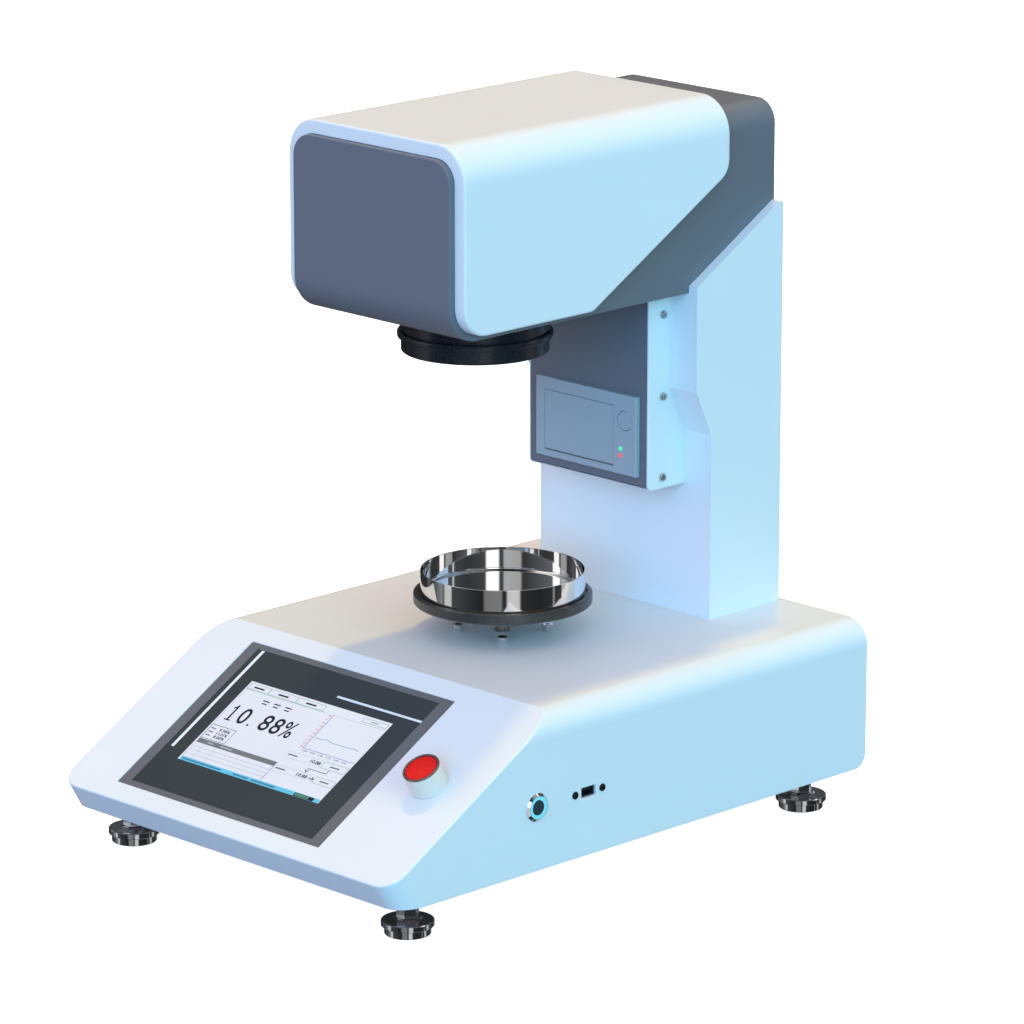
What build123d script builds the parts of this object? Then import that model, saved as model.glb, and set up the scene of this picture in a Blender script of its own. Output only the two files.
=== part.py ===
from build123d import *
import math
import os

# Bench-top near-infrared moisture analyzer. Millimetres, +Z up, front of the
# instrument towards -Y.  The geometry is drawn with X = 0 on the plane of
# symmetry, Y = 0 on the turntable axis and Z = 0 on the bench, and is moved at
# the end so that the origin is at the centre of the footprint.

# ---------------------------------------------------------------- base casing
BASE_W = 372.0          # width of the casing
BASE_CX = -3.0          # its middle, left of the turntable axis
BASE_Z0 = 30.0          # underside above the bench
BASE_Z1 = 150.0         # flat top
BASE_REAR = 222.2       # rear wall
SLOPE_TOP_Y = -125.5    # where the sloping control panel starts
SLOPE_LEN = 197.75      # length of the sloping panel
SLOPE_DEG = 30.3        # its angle to the bench
WALL = 2.0              # casing wall
SLOPE_WALL = 6.0        # wall of the sloping panel
R_TOP = 20.0            # long top edges
R_NOSE = 18.0           # corners of the nose
R_HEEL = 12.0           # rear bottom corner of the side profile
R_EDGE = 1.5            # small radius round the sloping panel

# ---------------------------------------------------------------- feet
FOOT_X = 153.6
FOOT_FRONT_Y = -250.5
FOOT_REAR_Y = 179.4
FOOT_R = 20.0
FOOT_BASE_R = 17.5
FOOT_STEP_Z = 6.4
FOOT_TOP_Z = 10.9
STUD_R = 5.0            # M10
STUD_AF = 15.0
FOOT_TRAVEL = 10.0

# ---------------------------------------------------------------- display
HMI_X = -22.57
HMI_S = 99.1            # distance of its centre down the slope
HMI_W = 226.5
HMI_H = 163.5
HMI_SET = 0.3           # how far its face lies below the slope
HMI_POCKET = 4.8
BLACK_W, BLACK_H = 203.5, 152.9
BLACK_X, BLACK_S = -23.25, 99.0
LIT_W, LIT_H = 158.4, 90.2
LIT_X, LIT_S = -23.9, 98.4
HMI_CUT_W, HMI_CUT_H = 215.0, 152.0
HMI_DEPTH = 28.0

# ---------------------------------------------------------------- start button
START_X = 135.9
START_S = 97.85
START_R = 14.65
START_H = 19.0
START_CAP_R = 12.6
START_TRAVEL = 4.0

# ---------------------------------------------------------------- power button, USB, inlet
SIDE_Z = 80.0
POWER_Y = -145.1
POWER_R = 11.0
POWER_PROUD = 2.1
POWER_FACE_R = 9.1
POWER_RING_R = 8.75
POWER_CAP_R = 5.9
USB_Y = -90.2
USB_PITCH = 29.0
USB_OPEN_W, USB_OPEN_H = 15.5, 8.1
INLET_X, INLET_Z = -120.0, 85.0

# ---------------------------------------------------------------- turntable and dish
TABLE_R = 70.0
TABLE_Z0, TABLE_Z1 = 173.7, 182.0
TABLE_FLOOR_Z = 180.3
LIP_R = 66.0
DISH_R = 64.5
DISH_Z0, DISH_Z1 = 180.4, 200.0
DISH_WALL = 0.9
SHAFT_R = 3.175
MOTOR_SQ = 60.0
MOTOR_PITCH = 49.5

# ---------------------------------------------------------------- column
COL_W = 188.0
COL_REAR = 215.5
COL_FRONT_LOW = 135.5
COL_FRONT_UP = 118.3
COL_STEP_Z0, COL_STEP_Z1 = 299.7, 336.4
CHEEK_T = 9.0
CHEEK_Z0 = 420.0        # where the cheeks start to slant
CHEEK_DEG = 30.3

# ---------------------------------------------------------------- printer box
PBOX_W = 132.0
PBOX_FRONT = 94.2
PBOX_Z0 = 256.0
PBOX_T = 2.0
PSCREW_Y = 109.6
PSCREW_Z = (265.6, 330.5, 395.9)
PR_X0, PR_X1 = -54.0, 56.0
PR_Z0, PR_Z1 = 266.5, 330.9
PR_PROUD = 4.0
DOOR_X0, DOOR_X1 = -44.0, 31.4
DOOR_Z0, DOOR_Z1 = 272.4, 320.6
HINGE_Y, HINGE_Z = 92.1, 274.1
PBTN_X, PBTN_Z, PBTN_R = 43.8, 310.3, 7.8
LED_X, LED_Z = 39.4, (287.3, 281.7)

# ---------------------------------------------------------------- head
HEAD_HW = 96.0          # half width of the white shell
HEAD_FRONT = -133.7
HEAD_REAR = 152.0
HEAD_Z0, HEAD_Z1 = 420.0, 564.7
HEAD_T = 11.0
R_HEAD = 29.0
CORE_HW = 84.8
CORE_FRONT = -139.5
CORE_REAR = 214.5
CORE_Z0, CORE_Z1 = 414.4, 553.4
R_CORE = 18.0
R_CORE_CHIN = 29.0
R_SHELL_CHIN = 23.0
SLANT_Y0 = 2.0

# ---------------------------------------------------------------- lens
LENS_Y = -29.6
LENS_R = 57.8
RING_R = 60.2
HOOD_R = 57.2
LENS_BORE = 52.0

a = math.radians(SLOPE_DEG)
SA, CA = math.sin(a), math.cos(a)
HB = BASE_W / 2
HW = BASE_CX + HB       # x of the right side
CREASE_Y = SLOPE_TOP_Y - SLOPE_LEN * CA
CREASE_Z = BASE_Z1 - SLOPE_LEN * SA
NOSE_LEN = (CREASE_Z - BASE_Z0) / CA
NOSE_Y = CREASE_Y + NOSE_LEN * SA

parts = {}
C = Align.CENTER
MN = Align.MIN


def block(x0, x1, y0, y1, z0, z1):
    return Pos((x0 + x1) / 2, (y0 + y1) / 2, (z0 + z1) / 2) * Box(x1 - x0, y1 - y0, z1 - z0)


def rod(x, y, z0, z1, r):
    return Pos(x, y, z0) * Cylinder(r, z1 - z0, align=(C, C, MN))


def rod_x(x0, x1, y, z, r):
    return Location((x0, y, z), (0, 90, 0)) * Cylinder(r, x1 - x0, align=(C, C, MN))


def rod_y(x, y0, y1, z, r):
    return Location((x, y0, z), (-90, 0, 0)) * Cylinder(r, y1 - y0, align=(C, C, MN))


def hex_prism(x, y, z0, z1, af):
    sk = RegularPolygon(af / 2, 6, major_radius=False)
    return Pos(x, y, z0) * extrude(sk, z1 - z0)


def side_profile(points, half):
    # closed outline in (y, z), extruded both ways along X
    face = Plane.YZ * make_face(Polyline(*points, close=True))
    return extrude(face, half, both=True)


def revolve_z(points, x, y):
    # closed outline in (r, z), turned round a vertical axis
    face = Plane.XZ * make_face(Polyline(*points, close=True))
    return Pos(x, y, 0) * revolve(face, Axis.Z)


def one(shape):
    s = shape.solids()
    return s[0] if len(s) == 1 else Compound(s)


SLOPE = Plane(origin=(0, SLOPE_TOP_Y, BASE_Z1), x_dir=(1, 0, 0), z_dir=(0, -SA, CA)).location


def on_slope(x, s, off):
    return SLOPE * Pos(x, -s, off)


def slope_block(x, s, w, h, off0, off1):
    return on_slope(x, s, off0) * Box(w, h, off1 - off0, align=(C, C, MN))


def slope_rod(x, s, r, off0, off1):
    return on_slope(x, s, off0) * Cylinder(r, off1 - off0, align=(C, C, MN))


def rnd(shape, edges, radius):
    # round the given edges; a radius that the kernel refuses is reduced
    for f in (1.0, 0.97, 0.85, 0.6, 0.4):
        try:
            r = fillet(edges, radius * f)
            v = r.is_valid
            if callable(v):
                v = v()
            if v:
                if f < 1.0:
                    print("radius", radius, "reduced to", radius * f)
                return r
        except Exception as err:
            last = err
    print("no round of", radius, "on", len(edges), "edges")
    return shape


def near(v, t, tol=0.2):
    return abs(v - t) < tol


# ================================================================ base casing
outer = side_profile([(NOSE_Y, BASE_Z0), (CREASE_Y, CREASE_Z), (SLOPE_TOP_Y, BASE_Z1),
                      (BASE_REAR, BASE_Z1), (BASE_REAR, BASE_Z0)], HB)
outer = rnd(outer, [e for e in outer.edges() if near(e.center().Z, BASE_Z1) and near(abs(e.center().X), HB)], R_TOP)
mid_y, mid_z = (NOSE_Y + CREASE_Y) / 2, (BASE_Z0 + CREASE_Z) / 2
outer = rnd(outer, [e for e in outer.edges() if near(e.center().Z, mid_z, 1.0) and near(abs(e.center().X), HB, 0.5)
                and near(e.center().Y, mid_y, 1.0)], R_NOSE)
outer = rnd(outer, [e for e in outer.edges() if near(e.center().Z, BASE_Z0) and near(e.center().Y, BASE_REAR)
                and near(e.center().X, 0)], R_HEEL)

# round of the sloping panel: every edge of its face except the top crease
slope_face = [f for f in outer.faces() if abs(f.normal_at().Z - CA) < 0.01 and abs(f.normal_at().Y + SA) < 0.01][0]
rim = [e for e in slope_face.edges() if not (near(e.center().Z, BASE_Z1, 0.5) and near(e.center().X, 0, 5))]
rim = [e for e in rim if e.center().Z < BASE_Z1 - R_TOP - 0.5]
outer = rnd(outer, rim, R_EDGE)


def inner_poly(t_slope, t, z_bottom):
    # the outline moved inwards: slope by t_slope, the rest by t
    sy, sz = SLOPE_TOP_Y + t_slope * SA, BASE_Z1 - t_slope * CA      # a point on the moved slope
    ny, nz = CREASE_Y + t * CA, CREASE_Z + t * SA                    # a point on the moved nose
    top = BASE_Z1 - t
    y_top = sy + (top - sz) * CA / SA
    # moved slope: (sy, sz) + u (CA, SA);  moved nose: (ny, nz) + v (SA, -CA)
    det = CA * (-CA) - SA * SA
    ry, rz = ny - sy, nz - sz
    u = (ry * (-CA) - rz * SA) / det
    cy, cz = sy + u * CA, sz + u * SA
    y_bot = ny + (nz - z_bottom) * SA / CA
    return [(y_bot, z_bottom), (cy, cz), (y_top, top), (BASE_REAR - t, top), (BASE_REAR - t, z_bottom)]


ipts = inner_poly(SLOPE_WALL, WALL, BASE_Z0 + WALL)
cavity = side_profile(ipts, HB - WALL)
cavity = rnd(cavity, [e for e in cavity.edges() if near(e.center().Z, BASE_Z1 - WALL) and near(abs(e.center().X), HB - WALL)], R_TOP - WALL)
iy, iz = (ipts[0][0] + ipts[1][0]) / 2, (ipts[0][1] + ipts[1][1]) / 2
cavity = rnd(cavity, [e for e in cavity.edges() if near(e.center().Z, iz, 1.0) and near(abs(e.center().X), HB - WALL, 0.5)
                 and near(e.center().Y, iy, 1.0)], R_NOSE - WALL)
cavity = rnd(cavity, [e for e in cavity.edges() if near(e.center().Z, BASE_Z0 + WALL) and near(e.center().Y, BASE_REAR - WALL)
                 and near(e.center().X, 0)], R_HEEL - WALL)
base = Pos(BASE_CX, 0, 0) * (outer - cavity)
# open underside, leaving an inward flange that carries the base plate
under = block(BASE_CX - 171, BASE_CX + 171, -264, 206, BASE_Z0 - 1, BASE_Z0 + WALL + 0.5)
under = rnd(under, [e for e in under.edges() if e.geom_type == GeomType.LINE and abs(e.tangent_at(0.5).Z) > 0.9], 12)
base -= under
# pad under the top that the column bolts thread into
pad = block(-86, 86, 139, 213, BASE_Z1 - 10, BASE_Z1 - WALL + 0.01)
base += pad
# display pocket and opening
base -= slope_block(HMI_X, HMI_S, HMI_W + 0.5, HMI_H + 0.5, -HMI_POCKET, 5)
base -= slope_block(HMI_X, HMI_S, HMI_CUT_W + 0.6, HMI_CUT_H + 0.6, -SLOPE_WALL - 2, 0)
# start button hole
base -= slope_rod(START_X, START_S, 11.2, -SLOPE_WALL - 2, 5)
# turntable shaft and motor screws
base -= rod(0, 0, BASE_Z1 - 10, BASE_Z1 + 2, 5.0)
mp = MOTOR_PITCH / 2
for sx in (-1, 1):
    for sy in (-1, 1):
        base -= rod(sx * mp, sy * mp, BASE_Z1 - 10, BASE_Z1 + 2, 2.7)
# column bolts and cable way
CB_X, CB_Y = 70.0, (152.0, 200.0)
for sx in (-1, 1):
    for y in CB_Y:
        base -= rod(sx * CB_X, y, BASE_Z1 - 12, BASE_Z1 + 1, 4.1)
base -= rod(0, 176, BASE_Z1 - 12, BASE_Z1 + 1, 15)
# power button, USB opening, USB screws, mains inlet
base -= rod_x(HW - 8, HW + 2, POWER_Y, SIDE_Z, 9.6)
base -= block(HW - 8, HW + 2, USB_Y - USB_OPEN_W / 2, USB_Y + USB_OPEN_W / 2, SIDE_Z - USB_OPEN_H / 2, SIDE_Z + USB_OPEN_H / 2)
for sy in (-1, 1):
    base -= rod_x(HW - 8, HW + 2, USB_Y + sy * USB_PITCH / 2, SIDE_Z, 1.6)
base -= block(INLET_X - 14, INLET_X + 14, BASE_REAR - 8, BASE_REAR + 2, INLET_Z - 10.5, INLET_Z + 10.5)
# base plate screw holes in the flange
BPS = [(BASE_CX + sx * 177.0, y) for sx in (-1, 1) for y in (-235.0, -90.0, 55.0, 190.0)]
for x, y in BPS:
    base -= rod(x, y, BASE_Z0 - 1, BASE_Z0 + WALL + 0.5, 2.1)
# cooling slots low in the rear wall
for i in range(7):
    x = 60 + i * 12.0
    slot = block(x - 2, x + 2, BASE_REAR - 8, BASE_REAR + 2, 70, 104)
    slot = rnd(slot, [e for e in slot.edges() if e.geom_type == GeomType.LINE and abs(e.tangent_at(0.5).Y) > 0.9], 1.9)
    base -= slot
parts["base_shell"] = one(base)

PLATE_Z0, PLATE_Z1 = BASE_Z0 + WALL, BASE_Z0 + WALL + 2.0
plate = block(BASE_CX - 182.4, BASE_CX + 182.4, -280.6, 209.4, PLATE_Z0, PLATE_Z1)
plate = chamfer([e for e in plate.edges() if e.geom_type == GeomType.LINE and abs(e.tangent_at(0.5).Z) > 0.9 and e.center().Y < 0], 17)
for sx in (-1, 1):
    for y in (FOOT_FRONT_Y, FOOT_REAR_Y):
        plate -= rod(sx * FOOT_X, y, PLATE_Z0 - 1, PLATE_Z1 + 1, 5.5)
for x, y in BPS:
    plate -= rod(x, y, PLATE_Z0 - 1, PLATE_Z1 + 1, 2.1)
parts["base_plate"] = one(plate)


def pan_screw_z(x, y, z_face, length, head_r, head_h, r, up):
    # pan head screw on a vertical axis; up = +1 when the shank points up
    if up > 0:
        s = rod(x, y, z_face - head_h, z_face, head_r)
        s = rnd(s, [e for e in s.edges() if near(e.center().Z, z_face - head_h)], head_h * 0.55)
        s += rod(x, y, z_face, z_face + length, r)
        s -= block(x - head_r * 0.55, x + head_r * 0.55, y - 0.45, y + 0.45, z_face - head_h - 1, z_face - head_h * 0.45)
        s -= block(x - 0.45, x + 0.45, y - head_r * 0.55, y + head_r * 0.55, z_face - head_h - 1, z_face - head_h * 0.45)
    return one(s)


parts["base_plate_screws"] = Compound([pan_screw_z(x, y, BASE_Z0, 9.0, 4.0, 2.4, 2.0, 1) for x, y in BPS])

# ================================================================ levelling feet
HEX_Z1 = PLATE_Z0 - 0.3
nuts = []
for sx in (-1, 1):
    for y in (FOOT_FRONT_Y, FOOT_REAR_Y):
        n = hex_prism(sx * FOOT_X, y, PLATE_Z1, PLATE_Z1 + 8, 17.0) - rod(sx * FOOT_X, y, PLATE_Z1 - 1, PLATE_Z1 + 9, STUD_R + 0.05)
        nuts.append(one(n))
parts["foot_nuts"] = Compound(nuts)

for tag, x, y in (("front_left", -FOOT_X, FOOT_FRONT_Y), ("front_right", FOOT_X, FOOT_FRONT_Y),
                  ("rear_left", -FOOT_X, FOOT_REAR_Y), ("rear_right", FOOT_X, FOOT_REAR_Y)):
    # chrome disc with a narrower base and a slightly dished top, bored for the stud's spigot
    p = revolve_z([(0, 0), (FOOT_BASE_R - 0.5, 0), (FOOT_BASE_R, 0.5), (FOOT_BASE_R, FOOT_STEP_Z), (FOOT_R - 0.4, FOOT_STEP_Z),
                   (FOOT_R, FOOT_STEP_Z + 0.4), (FOOT_R, FOOT_TOP_Z - 0.6), (FOOT_R - 0.6, FOOT_TOP_Z), (FOOT_R - 2.2, FOOT_TOP_Z),
                   (11.0, FOOT_TOP_Z + 0.6), (9.6, FOOT_TOP_Z + 1.6), (0, FOOT_TOP_Z + 1.6)], x, y)
    p -= rod(x, y, 5.0, 20.0, 4.05)
    parts["foot_pad_" + tag] = one(p)
    s = rod(x, y, 5.2, 13.0, 4.0) + hex_prism(x, y, 12.8, HEX_Z1, STUD_AF) + rod(x, y, HEX_Z1, 64.0, STUD_R)
    s = chamfer([e for e in s.edges() if near(e.center().Z, 64.0)], 1.0)
    # turned-down corners of the hexagon at both ends
    dress = revolve_z([(0, 5), (4.5, 5), (4.5, 12.8), (7.7, 12.8), (8.9, 13.6), (8.9, HEX_Z1 - 0.8), (7.7, HEX_Z1), (7.7, 66), (0, 66)], x, y)
    s = s & dress
    parts["foot_stud_" + tag] = one(s)

# ================================================================ display
bez = slope_block(HMI_X, HMI_S, HMI_W, HMI_H, -HMI_POCKET, -HMI_SET)
bez = rnd(bez, [e for e in bez.edges() if e.geom_type == GeomType.LINE and e.length < 6.0], 2.0)
bez -= slope_block(BLACK_X, BLACK_S, BLACK_W, BLACK_H, -HMI_SET - 1.6, 3)
bez -= slope_block(LIT_X, LIT_S, LIT_W + 12, LIT_H + 12, -HMI_POCKET - 1, 3)
parts["hmi_bezel"] = one(bez)
ov = slope_block(BLACK_X, BLACK_S, BLACK_W - 0.1, BLACK_H - 0.1, -HMI_SET - 1.6, -HMI_SET - 0.15)
ov -= slope_block(LIT_X, LIT_S, LIT_W + 0.1, LIT_H + 0.1, -HMI_SET - 3, 3)
parts["hmi_overlay"] = one(ov)
lcd = slope_block(LIT_X, LIT_S, LIT_W, LIT_H, -HMI_POCKET, -HMI_SET - 0.3)
lcd += slope_block(LIT_X, LIT_S, LIT_W + 11.6, LIT_H + 11.6, -HMI_POCKET, -HMI_SET - 1.6)
parts["hmi_screen"] = one(lcd)
hh = slope_block(HMI_X, HMI_S, HMI_CUT_W - 1, HMI_CUT_H - 1, -HMI_DEPTH, -HMI_POCKET)
hh = rnd(hh, [e for e in hh.edges() if e.geom_type == GeomType.LINE and near(e.length, HMI_DEPTH - HMI_POCKET, 0.3)], 4)
hh -= slope_block(HMI_X, HMI_S, HMI_CUT_W - 5, HMI_CUT_H - 5, -HMI_DEPTH + 2, -HMI_POCKET + 1)
parts["hmi_housing"] = one(hh)

# ================================================================ start button
SB = on_slope(START_X, START_S, 0)
col = Cylinder(START_R, START_H - 1.2, align=(C, C, MN))
col -= Pos(0, 0, 4.0) * Cylinder(START_CAP_R + 0.3, START_H, align=(C, C, MN))
col -= Pos(0, 0, -2) * Cylinder(5.4, 8, align=(C, C, MN))
parts["start_button_collar"] = one(SB * col)
ring = Pos(0, 0, START_H - 1.2) * Cylinder(START_R, 1.2, align=(C, C, MN)) - Pos(0, 0, START_H - 3) * Cylinder(START_CAP_R + 0.3, 6, align=(C, C, MN))
ring = rnd(ring, [e for e in ring.edges() if near(e.center().Z, START_H)], 0.4)
parts["start_button_ring"] = one(SB * ring)
# cap: a flat dome on a stem
dome_r = 60.0
# lower outline by straight edges, top by one arc through the crown
z_edge = START_H - 0.5
z_crown = z_edge + dome_r - math.sqrt(dome_r ** 2 - START_CAP_R ** 2)
l1 = Polyline((0, -14.0), (5.0, -14.0), (5.0, 9.0), (START_CAP_R, 9.0), (START_CAP_R, z_edge))
rm = START_CAP_R / 2
zm = z_edge + math.sqrt(dome_r ** 2 - rm ** 2) - math.sqrt(dome_r ** 2 - START_CAP_R ** 2)
l2 = ThreePointArc((START_CAP_R, z_edge), (rm, zm), (0, z_crown))
l3 = Line((0, z_crown), (0, -14.0))
cap = revolve(Plane.XZ * make_face([l1, l2, l3]), Axis.Z)
cap = rnd(cap, [e for e in cap.edges() if near(e.center().Z, z_edge, 0.05)], 0.6)
parts["start_button_cap"] = one(SB * cap)
blk = slope_rod(START_X, START_S, 11.0, -20, 0) + slope_rod(START_X, START_S, 15.0, -10, -6) \
    + slope_block(START_X, START_S, 28, 30, -46, -20)
blk -= slope_rod(START_X, START_S, 5.4, -19, 1)
parts["start_switch_block"] = one(blk)

# ================================================================ power button
pb = Location((HW, POWER_Y, SIDE_Z), (0, 90, 0))
outline = [(POWER_RING_R + 0.05, -1.6), (POWER_RING_R + 0.05, POWER_PROUD), (POWER_FACE_R, POWER_PROUD), (POWER_R, 0.5), (POWER_R, 0),
           (9.5, 0), (9.5, -WALL), (13.0, -WALL), (13.0, -WALL - 4), (9.5, -WALL - 4), (9.5, -24), (6.2, -24), (6.2, -1.6)]
bz = revolve(Plane.XZ * make_face(Polyline(*outline, close=True)), Axis.Z)
parts["power_button_bezel"] = one(pb * bz)
lr = revolve(Plane.XZ * make_face(Polyline((6.2, -1.6), (POWER_RING_R, -1.6), (POWER_RING_R, POWER_PROUD - 0.15), (6.2, POWER_PROUD - 0.15), close=True)), Axis.Z)
parts["power_button_light"] = one(pb * lr)
pl = Cylinder(POWER_CAP_R, 22, align=(C, C, Align.MAX))
pl = Pos(0, 0, POWER_PROUD) * pl
pl = rnd(pl, [e for e in pl.edges() if near(e.center().Z, POWER_PROUD)], 0.5)
parts["power_button_plunger"] = one(pb * pl)

# ================================================================ USB socket
ux = HW - WALL
us = block(ux - 1.5, ux, USB_Y - 19, USB_Y + 19, SIDE_Z - 7, SIDE_Z + 7)
us += block(ux - 16, ux, USB_Y - 7.0, USB_Y + 7.0, SIDE_Z - 3.5, SIDE_Z + 3.5)
us -= block(ux - 15, ux + 3, USB_Y - 6.3, USB_Y + 6.3, SIDE_Z - 2.8, SIDE_Z + 2.8)
for sy in (-1, 1):
    us -= rod_x(ux - 3, ux + 1, USB_Y + sy * USB_PITCH / 2, SIDE_Z, 1.5)
parts["usb_socket"] = one(us)
parts["usb_tongue"] = one(block(ux - 15, ux - 1.0, USB_Y - 5.6, USB_Y + 5.6, SIDE_Z + 0.3, SIDE_Z + 2.0))


def button_screw_x(y, z):
    s = rod_x(HW, HW + 1.3, y, z, 3.0)
    s = rnd(s, [e for e in s.edges() if near(e.center().X, HW + 1.3)], 0.9)
    s += rod_x(HW - 8, HW, y, z, 1.45)
    s -= Location((HW + 0.2, y, z), (0, 90, 0)) * extrude(RegularPolygon(1.0, 6, major_radius=False), 3)
    return one(s)


parts["usb_screws"] = Compound([button_screw_x(USB_Y - USB_PITCH / 2, SIDE_Z), button_screw_x(USB_Y + USB_PITCH / 2, SIDE_Z)])

# ================================================================ mains inlet
inlet = block(INLET_X - 15.5, INLET_X + 15.5, BASE_REAR, BASE_REAR + 2.5, INLET_Z - 12.5, INLET_Z + 12.5)
inlet = rnd(inlet, [e for e in inlet.edges() if e.geom_type == GeomType.LINE and abs(e.tangent_at(0.5).Y) > 0.9], 2)
inlet += block(INLET_X - 13.6, INLET_X + 13.6, BASE_REAR - 22, BASE_REAR + 0.5, INLET_Z - 10.1, INLET_Z + 10.1)
inlet -= block(INLET_X - 12, INLET_X + 12, BASE_REAR - 17, BASE_REAR + 5, INLET_Z - 8.3, INLET_Z + 8.3)
for dx, dz in ((-7, -1.5), (0, 2.0), (7, -1.5)):
    inlet += block(INLET_X + dx - 1, INLET_X + dx + 1, BASE_REAR - 17.5, BASE_REAR - 3.2, INLET_Z + dz - 2, INLET_Z + dz + 2)
parts["mains_inlet"] = one(inlet)

# ================================================================ electronics
mb = block(-165, -35, -70, 115, 44.0, 45.6)
for x in (-160, -40):
    for y in (-65, 110):
        mb += rod(x, y, PLATE_Z1, 44.2, 3.0)
mb += block(-120, -90, -10, 20, 45.5, 49)
mb += block(-80, -50, -50, -30, 45.5, 56)
mb += block(-150, -135, 40, 100, 45.5, 55)
for x, y in ((-70, 60), (-55, 60), (-70, 80), (-55, 80)):
    mb += rod(x, y, 45.5, 62, 5)
parts["main_board"] = one(mb)
ps = block(15, 140, 45, 205, PLATE_Z1, PLATE_Z1 + 42)
ps = rnd(ps, [e for e in ps.edges() if e.geom_type == GeomType.LINE and abs(e.tangent_at(0.5).Y) > 0.9 and e.center().Z > PLATE_Z1 + 40], 2)
for i in range(9):
    ps -= block(28, 127, 60 + i * 15, 65 + i * 15, PLATE_Z1 + 40, PLATE_Z1 + 45)
parts["power_supply"] = one(ps)

# ================================================================ turntable
motor = block(-MOTOR_SQ / 2, MOTOR_SQ / 2, -MOTOR_SQ / 2, MOTOR_SQ / 2, 90, BASE_Z1 - WALL)
motor = chamfer([e for e in motor.edges() if e.geom_type == GeomType.LINE and abs(e.tangent_at(0.5).Z) > 0.9], 3.0)
motor -= rod(0, 0, 88, 152, SHAFT_R + 0.05)
for sx in (-1, 1):
    for sy in (-1, 1):
        motor -= rod(sx * mp, sy * mp, 136, 150, 2.55)
parts["turntable_motor"] = one(motor)


def socket_screw(x, y, z, head_r, head_h, r, length, af):
    s = rod(x, y, z, z + head_h, head_r)
    s = rnd(s, [e for e in s.edges() if near(e.center().Z, z + head_h)], 0.5)
    s += rod(x, y, z - length, z, r)
    s -= Pos(x, y, z + head_h * 0.45) * extrude(RegularPolygon(af / 2, 6, major_radius=False), head_h)
    return one(s)


parts["motor_screws"] = Compound([socket_screw(sx * mp, sy * mp, BASE_Z1, 4.2, 5.0, 2.5, 13, 4.0) for sx in (-1, 1) for sy in (-1, 1)])
parts["drive_shaft"] = one(rod(0, 0, 90.5, 176.0, SHAFT_R))
seal = revolve_z([(SHAFT_R + 0.4, BASE_Z1), (6.9, BASE_Z1), (6.9, BASE_Z1 + 0.8), (6.3, BASE_Z1 + 1.4), (SHAFT_R + 0.4, BASE_Z1 + 1.4)], 0, 0)
parts["shaft_seal"] = one(seal)
# disc with a raised lip; the hub below it grips the shaft
tt = revolve_z([(0, 176.0), (SHAFT_R, 176.0), (SHAFT_R, 161.0), (11.0, 161.0), (11.0, TABLE_Z0), (TABLE_R - 1.0, TABLE_Z0), (TABLE_R, TABLE_Z0 + 1.0),
                (TABLE_R, TABLE_Z1 - 1.0), (TABLE_R - 0.4, TABLE_Z1 - 0.3), (TABLE_R - 1.2, TABLE_Z1), (LIP_R + 0.5, TABLE_Z1), (LIP_R, TABLE_Z1 - 0.5), (LIP_R, TABLE_FLOOR_Z), (0, TABLE_FLOOR_Z)], 0, 0)
parts["turntable"] = one(tt)
ri = DISH_R - DISH_WALL
dish = rod(0, 0, DISH_Z0, DISH_Z1, DISH_R)
dish = rnd(dish, [e for e in dish.edges() if near(e.center().Z, DISH_Z0)], 2.8)
scoop = rod(0, 0, DISH_Z0 + DISH_WALL, DISH_Z1 + 5, ri)
scoop = rnd(scoop, [e for e in scoop.edges() if near(e.center().Z, DISH_Z0 + DISH_WALL)], 1.9)
dish -= scoop
dish = rnd(dish, [e for e in dish.edges() if near(e.center().Z, DISH_Z1)], 0.4)
parts["sample_dish"] = one(dish)

# ================================================================ column
ch = math.radians(CHEEK_DEG)
apex_z = CHEEK_Z0 + (COL_REAR - COL_FRONT_UP) * math.tan(ch)
TOP_PLATE = CORE_Z0
full = side_profile([(COL_FRONT_LOW, BASE_Z1), (COL_FRONT_LOW, COL_STEP_Z0), (COL_FRONT_UP, COL_STEP_Z1), (COL_FRONT_UP, CHEEK_Z0),
                     (COL_REAR, apex_z), (COL_REAR, BASE_Z1)], COL_W / 2)
full = rnd(full, [e for e in full.edges() if near(e.center().Z, apex_z) and near(e.center().Y, COL_REAR) and near(e.center().X, 0)], 3.0)
full -= block(-COL_W / 2 + CHEEK_T, COL_W / 2 - CHEEK_T, COL_FRONT_UP - 5, COL_REAR + 5, TOP_PLATE, apex_z + 5)
ciw = COL_W / 2 - CHEEK_T
hollow = side_profile([(COL_FRONT_LOW + 4, BASE_Z1 + 8), (COL_FRONT_LOW + 4, COL_STEP_Z0 + 1.0), (COL_FRONT_UP + 4, COL_STEP_Z1 + 1.0), (COL_FRONT_UP + 4, TOP_PLATE - 8),
                       (COL_REAR + 5, TOP_PLATE - 8), (COL_REAR + 5, BASE_Z1 + 8)], ciw)
full -= hollow
# opening behind the printer, cable ways and bolt holes
full -= block(-58, 58, 110, COL_FRONT_LOW + 6, 267, 329)
full -= rod(0, 176, BASE_Z1 - 1, BASE_Z1 + 9, 15)
full -= rod(0, 176, TOP_PLATE - 9, TOP_PLATE + 1, 12)
TB_X, TB_Y = 60.0, (150.0, 200.0)
for sx in (-1, 1):
    for y in CB_Y:
        full -= rod(sx * CB_X, y, BASE_Z1 - 1, BASE_Z1 + 9, 4.1)
    for y in TB_Y:
        full -= rod(sx * TB_X, y, TOP_PLATE - 9, TOP_PLATE + 1, 4.1)
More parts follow.
